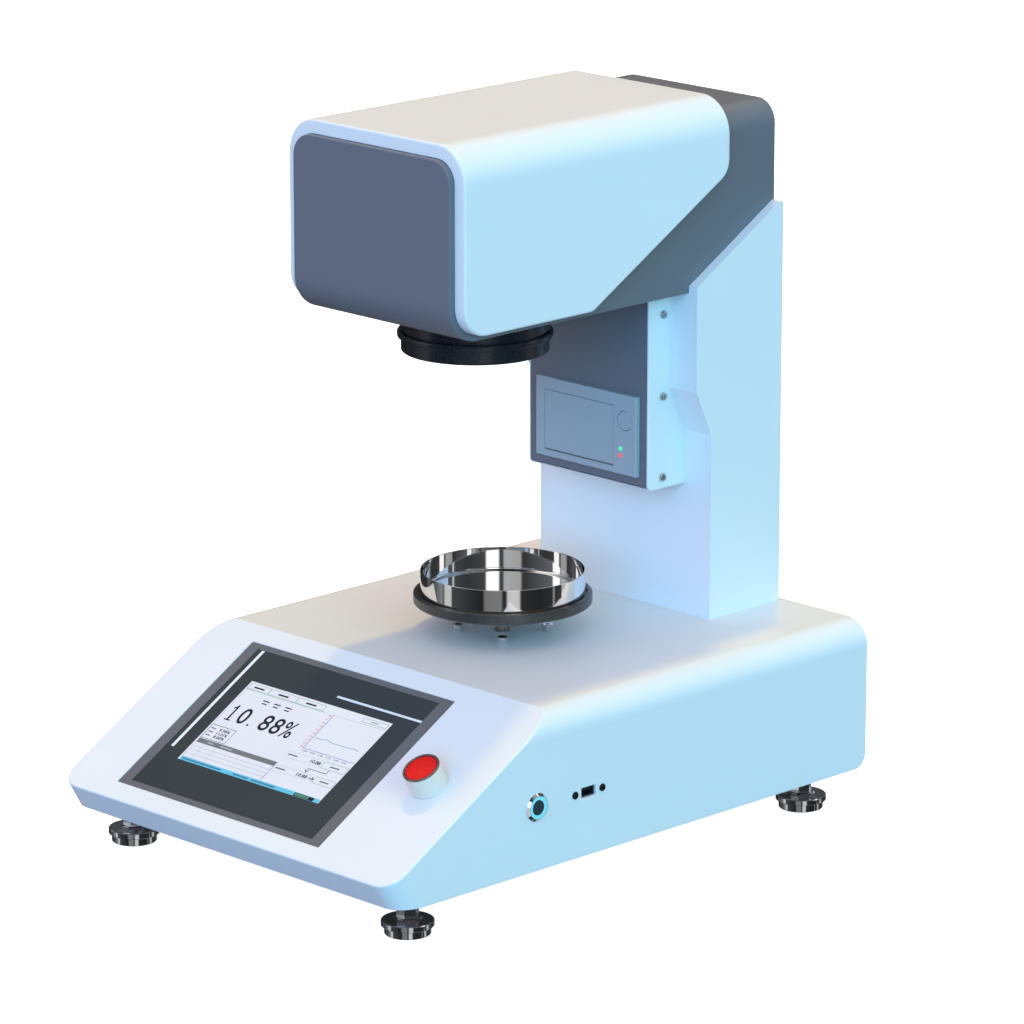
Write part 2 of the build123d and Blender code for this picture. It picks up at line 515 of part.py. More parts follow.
# lugs that the rear cover screws to
CV_Z = (176.0, 282.0, 388.0)
for sx in (-1, 1):
    for z in CV_Z:
        lug = block(min(sx * 72, sx * (ciw + 1)), max(sx * 72, sx * (ciw + 1)), 200, COL_REAR - 3.2, z - 7, z + 7)
        lug -= rod_y(sx * 78.5, 198, COL_REAR, z, 2.0)
        full += lug
parts["column_shell"] = one(full)
cover = block(-ciw + 0.4, ciw - 0.4, COL_REAR - 3.0, COL_REAR, BASE_Z1 + 8.4, TOP_PLATE - 8.4)
for sx in (-1, 1):
    for z in CV_Z:
        cover -= rod_y(sx * 78.5, COL_REAR - 5, COL_REAR + 2, z, 2.2)
parts["column_rear_cover"] = one(cover)
bolts = []
for sx in (-1, 1):
    for y in CB_Y:
        bolts.append(socket_screw(sx * CB_X, y, BASE_Z1 + 8, 6.5, 8.0, 4.0, 17.0, 6.0))
    for y in TB_Y:
        b = socket_screw(0, 0, 0, 6.5, 8.0, 4.0, 12.0, 6.0)
        bolts.append(Pos(sx * TB_X, y, TOP_PLATE - 8) * (Rot(180, 0, 0) * b))
parts["column_bolts"] = Compound([s for b in bolts for s in b.solids()])


def pan_screw(loc, head_r, head_h, r, length):
    # local frame: head stands on z = 0 and points along +z
    s = Cylinder(head_r, head_h, align=(C, C, MN))
    s = rnd(s, [e for e in s.edges() if near(e.center().Z, head_h)], head_h * 0.6)
    s += Cylinder(r, length, align=(C, C, Align.MAX))
    s -= Pos(0, 0, head_h * 0.5) * Box(head_r * 1.15, head_r * 0.24, head_h * 2, align=(C, C, MN))
    s -= Pos(0, 0, head_h * 0.5) * Box(head_r * 0.24, head_r * 1.15, head_h * 2, align=(C, C, MN))
    return one(loc * s)


# ================================================================ printer box
prof = [(PBOX_FRONT, PBOX_Z0), (COL_FRONT_LOW, PBOX_Z0), (COL_FRONT_LOW, COL_STEP_Z0), (COL_FRONT_UP, COL_STEP_Z1), (COL_FRONT_UP, CORE_Z0 - 0.3), (PBOX_FRONT, CORE_Z0 - 0.3)]
pbx = side_profile(prof, PBOX_W / 2)
pbx = rnd(pbx, [e for e in pbx.edges() if near(e.center().Z, PBOX_Z0) and near(e.center().Y, PBOX_FRONT) and near(e.center().X, 0)], 5.0)
pbx = rnd(pbx, [e for e in pbx.edges() if near(e.center().Z, PBOX_Z0, 0.3) and near(abs(e.center().X), PBOX_W / 2)], 1.2)
pbx -= block(-PBOX_W / 2 + PBOX_T, PBOX_W / 2 - PBOX_T, PBOX_FRONT - 5, COL_FRONT_LOW + 5, PBOX_Z0 + PBOX_T, CORE_Z0 + 5)
for sx in (-1, 1):
    for z in PSCREW_Z:
        pbx -= rod_x(sx * PBOX_W / 2 - 5, sx * PBOX_W / 2 + 5, PSCREW_Y, z, 2.1)
parts["printer_box"] = one(pbx)
fp_hw = PBOX_W / 2 - PBOX_T
fp = block(-fp_hw, fp_hw, PBOX_FRONT + 0.3, PBOX_FRONT + 2.3, PBOX_Z0 + PBOX_T + 1.2, CORE_Z0 - 0.4)
for sx in (-1, 1):
    fl = block(min(sx * fp_hw, sx * (fp_hw - 2)), max(sx * fp_hw, sx * (fp_hw - 2)), PBOX_FRONT + 1, PBOX_FRONT + 23.0, PBOX_Z0 + PBOX_T + 1.2, CORE_Z0 - 0.4)
    for z in PSCREW_Z:
        fl -= rod_x(sx * fp_hw - 5, sx * fp_hw + 5, PSCREW_Y, z, 2.05)
    fp += fl
fp -= block(PR_X0 + 4, PR_X1 - 4, PBOX_FRONT - 2, PBOX_FRONT + 5, PR_Z0 + 4, PR_Z1 - 4)
parts["printer_front_panel"] = one(fp)
scr = []
for z in PSCREW_Z:
    scr.append(pan_screw(Location((PBOX_W / 2, PSCREW_Y, z), (0, 90, 0)), 3.4, 2.2, 2.0, 7.0))
    scr.append(pan_screw(Location((-PBOX_W / 2, PSCREW_Y, z), (0, -90, 0)), 3.4, 2.2, 2.0, 7.0))
parts["printer_box_screws"] = Compound(scr)

# ---------------------------------------------------------------- panel printer
PF = PBOX_FRONT - PR_PROUD                       # face of the bezel
PB = 146.0                                       # back of the printer's case
body = block(PR_X0, PR_X1, PF, PBOX_FRONT + 0.3, PR_Z0, PR_Z1)
body = rnd(body, [e for e in body.edges() if near(e.center().Y, PF)], 0.7)
body += block(PR_X0 + 4.5, PR_X1 - 4.5, PBOX_FRONT, PB, PR_Z0 + 4.5, PR_Z1 - 4.5)
# paper well and door recess
WX0, WX1 = DOOR_X0 - 0.3, DOOR_X1 + 0.3
WZ0, WZ1 = 271.9, 321.05
body -= block(WX0, WX1, PF - 1, PF + 4.2, WZ0, WZ1)
body -= block(WX0 + 1.0, WX1 - 1.0, PF + 3, PB - 2.0, WZ0 + 1.0, WZ1 - 0.4)
body -= block(WX0, WX1, PF + 3, PF + 17.0, 304.0, WZ1)
# hinge pin holes
body -= rod_x(WX0 - 2.2, WX0 + 1, HINGE_Y, HINGE_Z, 1.05)
body -= rod_x(WX1 - 1, WX1 + 2.2, HINGE_Y, HINGE_Z, 1.05)
# paper roll spindle ends: two pins standing in from the side walls
ROLL_X0, ROLL_X1, ROLL_Y, ROLL_Z, ROLL_R = -35.0, 22.0, 123.0, 291.5, 17.0
body += rod_x(WX0 + 0.5, ROLL_X0 + 6, ROLL_Y, ROLL_Z, 5.5)
body += rod_x(ROLL_X1 - 6, WX1 - 0.5, ROLL_Y, ROLL_Z, 5.5)
# feed button hole and light holes
body -= rod_y(PBTN_X, PF - 1, PF + 8, PBTN_Z, PBTN_R + 0.3)
for z in LED_Z:
    body -= rod_y(LED_X, PF - 1, PF + 6, z, 2.05)
parts["printer_body"] = one(body)

DT = 3.2                                          # door thickness
DY0 = PF + 0.1
door = block(DOOR_X0, DOOR_X1, DY0, DY0 + DT, DOOR_Z0, DOOR_Z1)
door = rnd(door, [e for e in door.edges() if near(e.center().Z, DOOR_Z0) and near(e.center().X, (DOOR_X0 + DOOR_X1) / 2)], 1.4)
door = rnd(door, [e for e in door.edges() if near(e.center().Z, DOOR_Z1) and near(e.center().X, (DOOR_X0 + DOOR_X1) / 2) and near(e.center().Y, DY0)], 0.5)
door += rod_x(DOOR_X0 - 1.6, DOOR_X0 + 1, HINGE_Y, HINGE_Z, 1.0)
door += rod_x(DOOR_X1 - 1, DOOR_X1 + 1.6, HINGE_Y, HINGE_Z, 1.0)
PLAT_Y, PLAT_Z, PLAT_R = 100.5, 312.5, 4.6
for x0, x1 in ((DOOR_X0 + 1.5, DOOR_X0 + 4.0), (DOOR_X1 - 4.0, DOOR_X1 - 1.5)):
    arm = block(x0, x1, DY0 + DT - 0.5, PLAT_Y + 3.5, PLAT_Z - 4, PLAT_Z + 4)
    arm -= rod_x(x0 - 1, x1 + 1, PLAT_Y, PLAT_Z, 1.55)
    door += arm
parts["printer_door"] = one(door)
pr = rod_x(DOOR_X0 + 4.4, DOOR_X1 - 4.4, PLAT_Y, PLAT_Z, PLAT_R) + rod_x(DOOR_X0 + 1.6, DOOR_X1 - 1.6, PLAT_Y, PLAT_Z, 1.5)
parts["platen_roller"] = one(pr)
roll = rod_x(ROLL_X0, ROLL_X1, ROLL_Y, ROLL_Z, ROLL_R) - rod_x(ROLL_X0 - 1, ROLL_X1 + 1, ROLL_Y, ROLL_Z, 5.58)
parts["paper_roll"] = one(roll)
btn = rod_y(PBTN_X, PF + 0.1, PF + 5.5, PBTN_Z, PBTN_R)
btn = rnd(btn, [e for e in btn.edges() if near(e.center().Y, PF + 0.1)], 0.35)
parts["printer_button"] = one(btn)
leds = []
for z in LED_Z:
    l = rod_y(LED_X, PF - 0.6, PF + 5.0, z, 2.0)
    l = rnd(l, [e for e in l.edges() if near(e.center().Y, PF - 0.6)], 0.55)
    leds.append(one(l))
parts["printer_leds"] = Compound(leds)

# ================================================================ head: white shell
sl = math.radians(30.0)
rear_z = HEAD_Z0 + (HEAD_REAR - SLANT_Y0) * math.tan(sl)
hs = side_profile([(HEAD_FRONT, HEAD_Z0), (SLANT_Y0, HEAD_Z0), (HEAD_REAR, rear_z), (HEAD_REAR, HEAD_Z1), (HEAD_FRONT, HEAD_Z1)], HEAD_HW)
hs = rnd(hs, [e for e in hs.edges() if near(e.center().Z, HEAD_Z0) and near(e.center().Y, HEAD_FRONT) and near(e.center().X, 0)], R_SHELL_CHIN)
hs = rnd(hs, [e for e in hs.edges() if near(e.center().Z, HEAD_Z0) and near(e.center().Y, SLANT_Y0) and near(e.center().X, 0)], 10.0)
hs = rnd(hs, [e for e in hs.edges() if near(e.center().Z, rear_z) and near(e.center().Y, HEAD_REAR) and near(e.center().X, 0)], 18.0)
hs = rnd(hs, [e for e in hs.edges() if near(e.center().Z, HEAD_Z1) and near(abs(e.center().X), HEAD_HW)], R_HEAD)
hs = rnd(hs, [e for e in hs.edges() if near(e.center().Y, HEAD_FRONT, 0.1)], 2.0)
inner_hw = HEAD_HW - HEAD_T
tunnel = block(-inner_hw, inner_hw, HEAD_FRONT - 10, HEAD_REAR + 10, HEAD_Z0 - 20, HEAD_Z1 - HEAD_T)
tunnel = rnd(tunnel, [e for e in tunnel.edges() if near(e.center().Z, HEAD_Z1 - HEAD_T) and near(abs(e.center().X), inner_hw)], R_HEAD - HEAD_T)
hs -= tunnel
parts["head_shell"] = one(hs)

# ================================================================ head: dark core
core = block(-CORE_HW, CORE_HW, CORE_FRONT, CORE_REAR, CORE_Z0, CORE_Z1)
core = rnd(core, [e for e in core.edges() if near(e.center().Z, CORE_Z0) and near(e.center().Y, CORE_FRONT) and near(e.center().X, 0)], R_CORE_CHIN)
core = rnd(core, [e for e in core.edges() if near(e.center().Z, CORE_Z1) and near(abs(e.center().X), CORE_HW)], R_CORE)
core = rnd(core, [e for e in core.edges() if near(e.center().Y, CORE_FRONT, 0.1)], 0.8)
cav = block(-CORE_HW + 3, CORE_HW - 3, CORE_FRONT + 3, CORE_REAR + 5, CORE_Z0 + 4, CORE_Z1 - 3)
cav = rnd(cav, [e for e in cav.edges() if near(e.center().Z, CORE_Z0 + 4) and near(e.center().Y, CORE_FRONT + 3) and near(e.center().X, 0)], R_CORE_CHIN - 3)
cav = rnd(cav, [e for e in cav.edges() if near(e.center().Z, CORE_Z1 - 3) and near(abs(e.center().X), CORE_HW - 3)], R_CORE - 3)
core -= cav
core -= rod(0, LENS_Y, CORE_Z0 - 1, CORE_Z0 + 6, 50.1)
core -= rod(0, 176, CORE_Z0 - 1, CORE_Z0 + 6, 12)
for sx in (-1, 1):
    for y in TB_Y:
        core -= rod(sx * TB_X, y, CORE_Z0 - 1, CORE_Z0 + 6, 4.05)
HC = [(sx * 74.0, z) for sx in (-1, 1) for z in (426.0, 534.0)]
for x, z in HC:
    lug = block(min(x - 7, math.copysign(CORE_HW - 2, x)) if x < 0 else x - 7, max(x + 7, math.copysign(CORE_HW - 2, x)) if x > 0 else x + 7, 199, CORE_REAR - 3.2, z - 7, z + 7)
    lug -= rod_y(x, 197, CORE_REAR, z, 2.0)
    core += lug
parts["head_core"] = one(core)
hc = block(-CORE_HW + 3.4, CORE_HW - 3.4, CORE_REAR - 3.0, CORE_REAR, CORE_Z0 + 4.4, CORE_Z1 - 3.4)
hc = rnd(hc, [e for e in hc.edges() if near(e.center().Z, CORE_Z1 - 3.4) and near(abs(e.center().X), CORE_HW - 3.4)], R_CORE - 3.4)
for x, z in HC:
    hc -= rod_y(x, CORE_REAR - 5, CORE_REAR + 2, z, 2.2)
for i in range(9):
    z = 452 + i * 8.0
    s = block(-32, 32, CORE_REAR - 5, CORE_REAR + 2, z - 1.5, z + 1.5)
    s = rnd(s, [e for e in s.edges() if e.geom_type == GeomType.LINE and abs(e.tangent_at(0.5).Y) > 0.9], 1.4)
    hc -= s
parts["head_rear_cover"] = one(hc)
rcs = []
for sx in (-1, 1):
    for z in CV_Z:
        rcs.append(pan_screw(Location((sx * 78.5, COL_REAR, z), (-90, 0, 0)), 3.6, 2.3, 1.9, 11.0))
for x, z in HC:
    rcs.append(pan_screw(Location((x, CORE_REAR, z), (-90, 0, 0)), 3.6, 2.3, 1.9, 11.0))
parts["rear_cover_screws"] = Compound(rcs)

# ================================================================ lens
Z_RING0, Z_RING1 = 391.4, 396.8
lb = revolve_z([(46, 440), (46, 400), (LENS_BORE, 400), (LENS_BORE, 397.2), (56.4, 397.2), (56.4, 398.0), (LENS_R, 398.6), (LENS_R, CORE_Z0), (50.0, CORE_Z0), (50.0, 440)], 0, LENS_Y)
parts["lens_barrel"] = one(lb)
lrg = revolve_z([(LENS_BORE, Z_RING0), (RING_R - 1.2, Z_RING0), (RING_R - 0.3, Z_RING0 + 0.6), (RING_R, Z_RING0 + 1.5), (RING_R, Z_RING1 - 1.7), (RING_R - 0.4, Z_RING1 - 0.7), (RING_R - 1.5, Z_RING1), (56.0, Z_RING1), (56.0, 397.2), (LENS_BORE, 397.2)], 0, LENS_Y)
parts["lens_ring"] = one(lrg)
hd = revolve_z([(LENS_BORE + 0.6, 380.9), (HOOD_R - 0.6, 380.9), (HOOD_R, 381.5), (HOOD_R, Z_RING0), (LENS_BORE, Z_RING0), (LENS_BORE, 382.0)], 0, LENS_Y)
parts["lens_hood"] = one(hd)
parts["lens_window"] = one(revolve_z([(0, 394.0), (LENS_BORE, 394.0), (LENS_BORE, 397.0), (0, 397.0)], 0, LENS_Y))

# ================================================================ optics inside the head
WHEEL_Y = LENS_Y + 34.0
op = block(-CORE_HW + 3.2, CORE_HW - 3.2, -85, 60, 520, 524)
for sx in (-1, 1):
    op += block(min(sx * 78.6, sx * 81.6), max(sx * 78.6, sx * 81.6), -60, 40, CORE_Z0 + 4.0, 520.2)
parts["optics_plate"] = one(op)
wheel = rod(0, WHEEL_Y, 466, 470, 46)
for i in range(6):
    t = math.radians(-90 + 60 * i)
    wheel -= rod(34 * math.cos(t), WHEEL_Y + 34 * math.sin(t), 467.0, 472, 9.5)
    wheel += rod(34 * math.cos(t), WHEEL_Y + 34 * math.sin(t), 466.9, 469.0, 9.6)
wheel += rod(0, WHEEL_Y, 470, 478, 7)
wheel -= rod(0, WHEEL_Y, 460, 480, 3.05)
parts["filter_wheel"] = one(wheel)
fm = rod(0, WHEEL_Y, 479, 520, 15) + rod(0, WHEEL_Y, 463, 480, 3.0)
parts["filter_motor"] = one(fm)
lamp = revolve_z([(0, 520), (13, 520), (13, 490), (16, 479), (15, 479), (11.5, 489), (4, 492), (0, 492)], 0, LENS_Y)
parts["infrared_lamp"] = one(lamp)
det = rod(0, LENS_Y, 440, 441.6, 49) - rod(0, LENS_Y, 438, 443, 14)
for t in (30, 150, 270):
    x, y = 30 * math.cos(math.radians(t)), LENS_Y + 30 * math.sin(math.radians(t))
    det += rod(x, y, 434, 440.5, 4.5)
det += block(-12, 12, LENS_Y + 22, LENS_Y + 32, 441.5, 446)
parts["detector_board"] = one(det)

# ---------------------------------------------------------------- origin at the centre of the footprint
boxes = [p.bounding_box() for p in parts.values()]
x_mid = (min(b.min.X for b in boxes) + max(b.max.X for b in boxes)) / 2
y_mid = (min(b.min.Y for b in boxes) + max(b.max.Y for b in boxes)) / 2
SHIFT_X = round(x_mid, 3)
SHIFT_Y = round(y_mid, 3)
print("plane of symmetry and turntable axis are at x = %.3f, y = %.3f" % (-SHIFT_X, -SHIFT_Y))

os.makedirs("parts", exist_ok=True)
for name, shape in parts.items():
    export_step(Pos(-SHIFT_X, -SHIFT_Y, 0) * shape, os.path.join("parts", name + ".step"))
print(len(parts), "parts")
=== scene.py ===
import math

import bmesh
import bpy
from mathutils import Matrix, Vector


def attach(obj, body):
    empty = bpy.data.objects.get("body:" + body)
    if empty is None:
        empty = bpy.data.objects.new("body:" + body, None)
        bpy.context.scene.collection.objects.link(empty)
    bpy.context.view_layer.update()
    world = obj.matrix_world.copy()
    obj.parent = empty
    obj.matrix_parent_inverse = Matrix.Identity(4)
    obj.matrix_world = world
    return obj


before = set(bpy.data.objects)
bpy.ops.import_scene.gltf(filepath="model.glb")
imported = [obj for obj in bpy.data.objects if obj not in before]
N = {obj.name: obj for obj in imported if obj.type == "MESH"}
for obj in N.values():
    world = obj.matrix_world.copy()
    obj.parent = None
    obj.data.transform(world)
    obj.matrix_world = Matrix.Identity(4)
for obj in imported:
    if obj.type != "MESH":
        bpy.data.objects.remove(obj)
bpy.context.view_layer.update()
scene = bpy.context.scene

# The part was drawn with x = 0 on the plane of symmetry and y = 0 on the turntable axis (mm).
DX, DY = 1.95, 35.492
SLOPE = math.radians(30.3)
SA, CA = math.sin(SLOPE), math.cos(SLOPE)
SLOPE_TOP_Y, SLOPE_TOP_Z = -125.5, 150.0


def P(x, y, z):
    return Vector(((x + DX) / 1000, (y + DY) / 1000, z / 1000))


def SP(x, s, off=0.0):
    # a point of the sloping panel: x across, s down the slope, off along its outward normal
    return P(x, SLOPE_TOP_Y - s * CA - off * SA, SLOPE_TOP_Z - s * SA + off * CA)


# ------------------------------------------------------------------ materials
def base_nodes(name):
    m = bpy.data.materials.new(name)
    m.use_nodes = True
    nt = m.node_tree
    nt.nodes.clear()
    out = nt.nodes.new("ShaderNodeOutputMaterial")
    b = nt.nodes.new("ShaderNodeBsdfPrincipled")
    nt.links.new(b.outputs[0], out.inputs[0])
    tc = nt.nodes.new("ShaderNodeTexCoord")
    return m, nt, b, tc


def noise(nt, tc, scale, detail=2.0, rough=0.5, stretch=None):
    n = nt.nodes.new("ShaderNodeTexNoise")
    n.inputs["Scale"].default_value = scale
    n.inputs["Detail"].default_value = detail
    n.inputs["Roughness"].default_value = rough
    if stretch:
        mp = nt.nodes.new("ShaderNodeMapping")
        mp.inputs["Scale"].default_value = stretch
        nt.links.new(tc.outputs["Object"], mp.inputs["Vector"])
        nt.links.new(mp.outputs[0], n.inputs["Vector"])
    else:
        nt.links.new(tc.outputs["Object"], n.inputs["Vector"])
    return n


def remap(nt, src, a0, a1, b0, b1):
    r = nt.nodes.new("ShaderNodeMapRange")
    r.inputs["From Min"].default_value = a0
    r.inputs["From Max"].default_value = a1
    r.inputs["To Min"].default_value = b0
    r.inputs["To Max"].default_value = b1
    nt.links.new(src, r.inputs["Value"])
    return r.outputs["Result"]


def mix_col(nt, fac, ca, cb):
    m = nt.nodes.new("ShaderNodeMix")
    m.data_type = "RGBA"
    m.inputs[6].default_value = (*ca, 1)
    m.inputs[7].default_value = (*cb, 1)
    nt.links.new(fac, m.inputs[0])
    return m.outputs[2]


def finish_mat(name, col, rough=0.45, metallic=0.0, coat=0.0, coat_rough=0.1, spec=0.5, var=0.03, patch=7.0,
               grain=900.0, bump=0.05, dist=0.0001, rvar=0.05, bevel=0.0, stretch=None, tint=None, speck=0.0):
    # painted, moulded or machined surface: slow drift of tone, fine grain in bump and gloss
    m, nt, b, tc = base_nodes(name)
    slow = noise(nt, tc, patch, 3.0, 0.55)
    fine = noise(nt, tc, grain, 2.0, 0.6, stretch)
    lo = tuple(max(0.0, c * (1 - var)) for c in col)
    hi = tuple(min(1.0, c * (1 + var)) for c in (tint or col))
    fac = remap(nt, slow.outputs[0], 0.3, 0.7, 0.0, 1.0)
    if speck:
        f2 = remap(nt, fine.outputs[0], 0.35, 0.65, -speck, speck)
        add = nt.nodes.new("ShaderNodeMath")
        add.operation = "ADD"
        add.use_clamp = True
        nt.links.new(fac, add.inputs[0])
        nt.links.new(f2, add.inputs[1])
        fac = add.outputs[0]
    nt.links.new(mix_col(nt, fac, lo, hi), b.inputs["Base Color"])
    nt.links.new(remap(nt, fine.outputs[0], 0.3, 0.7, max(0.01, rough - rvar), rough + rvar), b.inputs["Roughness"])
    b.inputs["Metallic"].default_value = metallic
    b.inputs["Coat Weight"].default_value = coat
    b.inputs["Coat Roughness"].default_value = coat_rough
    b.inputs["Specular IOR Level"].default_value = spec
    bp = nt.nodes.new("ShaderNodeBump")
    bp.inputs["Strength"].default_value = bump
    bp.inputs["Distance"].default_value = dist
    nt.links.new(fine.outputs[0], bp.inputs["Height"])
    if bevel:
        bv = nt.nodes.new("ShaderNodeBevel")
        bv.samples = 4
        bv.inputs["Radius"].default_value = bevel
        nt.links.new(bv.outputs[0], bp.inputs["Normal"])
    nt.links.new(bp.outputs[0], b.inputs["Normal"])
    return m


def lit_mat(name, col, strength, rough=0.3, var=0.04, patch=60.0, black=(0.02, 0.02, 0.02)):
    # glowing plastic or a lit screen, with a slight unevenness of the backlight
    m, nt, b, tc = base_nodes(name)
    n = noise(nt, tc, patch, 2.0, 0.5)
    lo = tuple(c * (1 - var) for c in col)
    c = mix_col(nt, remap(nt, n.outputs[0], 0.3, 0.7, 0.0, 1.0), lo, col)
    nt.links.new(c, b.inputs["Emission Color"])
    b.inputs["Emission Strength"].default_value = strength
    b.inputs["Base Color"].default_value = (*black, 1)
    b.inputs["Roughness"].default_value = rough
    return m


WHITE = (0.80, 0.80, 0.80)
DARK = (0.154, 0.156, 0.178)
M = {}
M["casing"] = finish_mat("casing_white_coat", WHITE, rough=0.42, var=0.012, grain=1400, bump=0.06, bevel=0.0007, rvar=0.04)
M["shell"] = finish_mat("shell_white_satin", (0.81, 0.81, 0.81), rough=0.40, var=0.012, grain=1500, bump=0.05, bevel=0.0007, rvar=0.04)
M["dark"] = finish_mat("slate_coat", DARK, rough=0.46, var=0.03, grain=1400, bump=0.08, bevel=0.0006, rvar=0.05, speck=0.2)
M["chrome"] = finish_mat("polished_chrome", (0.80, 0.80, 0.82), rough=0.05, metallic=1.0, var=0.02, grain=120, bump=0.0, rvar=0.02)
M["dish"] = finish_mat("polished_dish_steel", (0.84, 0.83, 0.82), rough=0.035, metallic=1.0, var=0.02, grain=90, bump=0.01, rvar=0.025)
M["steel"] = finish_mat("turned_steel", (0.60, 0.61, 0.62), rough=0.26, metallic=1.0, var=0.05, grain=700, bump=0.03, rvar=0.06)
M["zinc"] = finish_mat("zinc_plated", (0.55, 0.56, 0.58), rough=0.36, metallic=1.0, var=0.08, patch=60, grain=500, bump=0.05, rvar=0.08)
M["turntable"] = finish_mat("anodised_turntable", (0.12, 0.116, 0.112), rough=0.36, metallic=0.85, var=0.25, patch=40, grain=1500, bump=0.30, dist=0.0002, rvar=0.10, speck=0.8)
M["lens"] = finish_mat("anodised_lens", (0.013, 0.013, 0.015), rough=0.27, metallic=0.0, spec=0.55, var=0.4, grain=1100, bump=0.35, dist=0.0002, rvar=0.10, speck=0.8)
M["bezel"] = finish_mat("display_bezel_grey", (0.13, 0.13, 0.135), rough=0.42, var=0.05, grain=1800, bump=0.12, bevel=0.0004, speck=0.4)
M["overlay"] = finish_mat("display_black_glass", (0.036, 0.044, 0.046), rough=0.20, spec=0.3, var=0.04, grain=500, bump=0.0, rvar=0.02)
M["screen"] = lit_mat("lit_screen", (0.78, 0.83, 0.95), 0.95, rough=0.18, var=0.03, patch=14)
M["black"] = finish_mat("black_moulding", (0.012, 0.012, 0.013), rough=0.45, var=0.1, grain=1200, bump=0.12)
M["blacksteel"] = finish_mat("blackened_screw", (0.012, 0.012, 0.013), rough=0.35, metallic=0.3, var=0.1, grain=900, bump=0.08)
M["btn_white"] = finish_mat("button_collar_white", (0.79, 0.68, 0.59), rough=0.30, coat=0.2, var=0.006, patch=40, grain=900, bump=0.01, bevel=0.0004)
M["btn_ring"] = finish_mat("button_ring_dark", (0.24, 0.22, 0.21), rough=0.26, metallic=0.9, var=0.06, grain=900, bump=0.03)
M["btn_red"] = finish_mat("button_red", (0.80, 0.008, 0.006), rough=0.30, spec=0.15, coat=0.0, coat_rough=0.10, var=0.01, patch=120, grain=700, bump=0.005, tint=(0.82, 0.012, 0.010))
M["ring_light"] = lit_mat("ring_light", (0.16, 0.76, 1.0), 1.0, rough=0.35, var=0.10, patch=400)
M["plunger"] = finish_mat("plunger_dark", (0.030, 0.042, 0.055), rough=0.30, metallic=0.2, var=0.05, grain=800, bump=0.04)
M["board"] = finish_mat("board_green", (0.02, 0.16, 0.07), rough=0.35, var=0.2, patch=200, grain=600, bump=0.08)
M["supply"] = finish_mat("bare_aluminium", (0.56, 0.57, 0.58), rough=0.38, metallic=1.0, var=0.05, grain=700, bump=0.06, stretch=(1, 12, 1))
M["motor"] = finish_mat("motor_black", (0.02, 0.02, 0.022), rough=0.4, var=0.08, grain=700, bump=0.08)
M["printer"] = finish_mat("printer_slate", (0.360, 0.405, 0.440), rough=0.45, var=0.02, grain=1500, bump=0.08, bevel=0.0003, speck=0.3)
M["printer_btn"] = finish_mat("printer_button_slate", (0.360, 0.405, 0.440), rough=0.42, var=0.02, grain=1500, bump=0.06, bevel=0.0003)
M["rubber"] = finish_mat("roller_rubber", (0.02, 0.02, 0.02), rough=0.7, var=0.1, grain=900, bump=0.15)
M["paper"] = finish_mat("thermal_paper", (0.85, 0.85, 0.83), rough=0.75, var=0.02, grain=2000, bump=0.08, stretch=(1, 1, 1))
M["filter"] = finish_mat("filter_wheel_black", (0.04, 0.04, 0.045), rough=0.4, metallic=0.6, var=0.1, grain=900, bump=0.06)
M["reflector"] = finish_mat("lamp_reflector", (0.75, 0.75, 0.76), rough=0.15, metallic=1.0, var=0.03, grain=300, bump=0.02)

# lens window: dark coated glass
m, nt, b, tc = base_nodes("lens_window_glass")
n = noise(nt, tc, 30, 2.0)
nt.links.new(mix_col(nt, remap(nt, n.outputs[0], 0.3, 0.7, 0, 1), (0.010, 0.012, 0.018), (0.016, 0.018, 0.028)), b.inputs["Base Color"])
b.inputs["Roughness"].default_value = 0.06
b.inputs["Coat Weight"].default_value = 0.5
b.inputs["IOR"].default_value = 1.52
M["window"] = m

# two indicator lights in one node: the upper green, the lower red
m, nt, b, tc = base_nodes("indicator_lights")
sep = nt.nodes.new("ShaderNodeSeparateXYZ")
nt.links.new(tc.outputs["Object"], sep.inputs[0])
gt = nt.nodes.new("ShaderNodeMath")
gt.operation = "GREATER_THAN"
gt.inputs[1].default_value = 0.2845
nt.links.new(sep.outputs["Z"], gt.inputs[0])
c = mix_col(nt, gt.outputs[0], (0.95, 0.13, 0.10), (0.10, 0.75, 0.35))
nt.links.new(c, b.inputs["Emission Color"])
nt.links.new(c, b.inputs["Base Color"])
b.inputs["Emission Strength"].default_value = 0.45
b.inputs["Roughness"].default_value = 0.22
M["indicator"] = m

USE = {
    "base_shell": "casing", "base_plate": "zinc", "base_plate_screws": "zinc", "foot_nuts": "zinc",
    "hmi_bezel": "bezel", "hmi_overlay": "overlay", "hmi_screen": "screen", "hmi_housing": "black",
    "start_button_collar": "btn_white", "start_button_ring": "btn_ring", "start_button_cap": "btn_red", "start_switch_block": "black",
    "power_button_bezel": "chrome", "power_button_light": "ring_light", "power_button_plunger": "plunger",
    "usb_socket": "black", "usb_tongue": "black", "usb_screws": "blacksteel", "mains_inlet": "black",
    "main_board": "board", "power_supply": "supply", "turntable_motor": "motor", "motor_screws": "chrome",
    "drive_shaft": "steel", "shaft_seal": "steel", "turntable": "turntable", "sample_dish": "dish",
    "column_shell": "casing", "column_rear_cover": "casing", "column_bolts": "steel",
    "printer_box": "casing", "printer_front_panel": "dark", "printer_box_screws": "steel",
    "printer_body": "printer", "printer_door": "printer", "platen_roller": "rubber", "paper_roll": "paper",
    "printer_button": "printer_btn", "printer_leds": "indicator",
    "head_shell": "shell", "head_core": "dark", "head_rear_cover": "dark", "rear_cover_screws": "steel",
    "lens_barrel": "lens", "lens_ring": "lens", "lens_hood": "lens", "lens_window": "window",
    "optics_plate": "supply", "filter_wheel": "filter", "filter_motor": "motor", "infrared_lamp": "reflector", "detector_board": "board",
}
